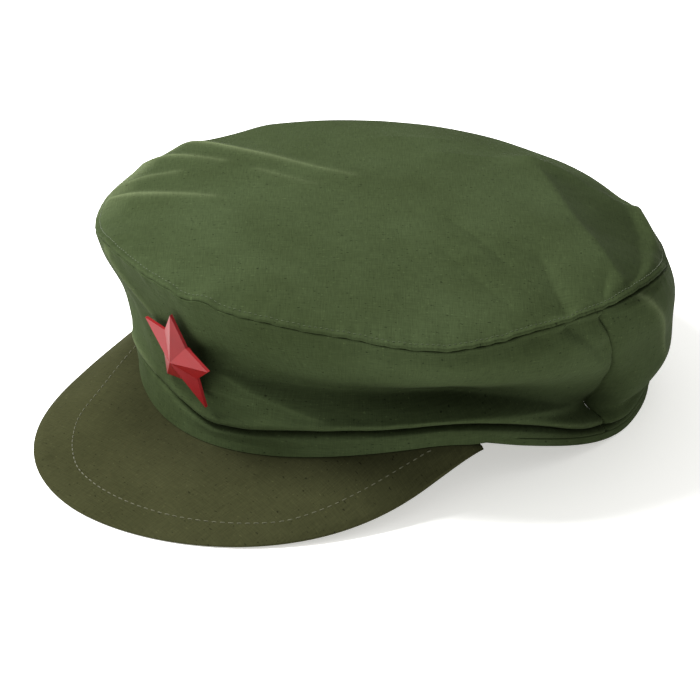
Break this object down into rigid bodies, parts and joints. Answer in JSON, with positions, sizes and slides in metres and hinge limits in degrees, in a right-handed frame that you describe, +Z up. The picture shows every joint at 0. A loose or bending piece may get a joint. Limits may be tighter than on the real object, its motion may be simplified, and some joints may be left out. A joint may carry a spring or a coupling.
{
  "type": "military cap",
  "caption": "Soft round-topped cotton uniform cap with a stiff cloth-covered peak and a star badge, open below for the head.",
  "frame": {"origin": "on the surface the cap lies on, under the middle of its outer box", "axes": "+Z up, -Y towards the peak and front, +X towards the wearer's left"},
  "size_m": [0.2108, 0.2528, 0.0839],
  "materials": {
    "olive_cotton": "matt plain weave",
    "peak_cotton": "matt plain weave",
    "red_enamel": "gloss",
    "brass": "satin"
  },
  "bodies": {
    "root": {"crown_top": "olive_cotton", "side_front": "olive_cotton", "side_back": "olive_cotton", "hem_band": "olive_cotton", "peak": "peak_cotton", "star_badge": "red_enamel", "badge_nut": "brass"}
  },
  "joints": []
}
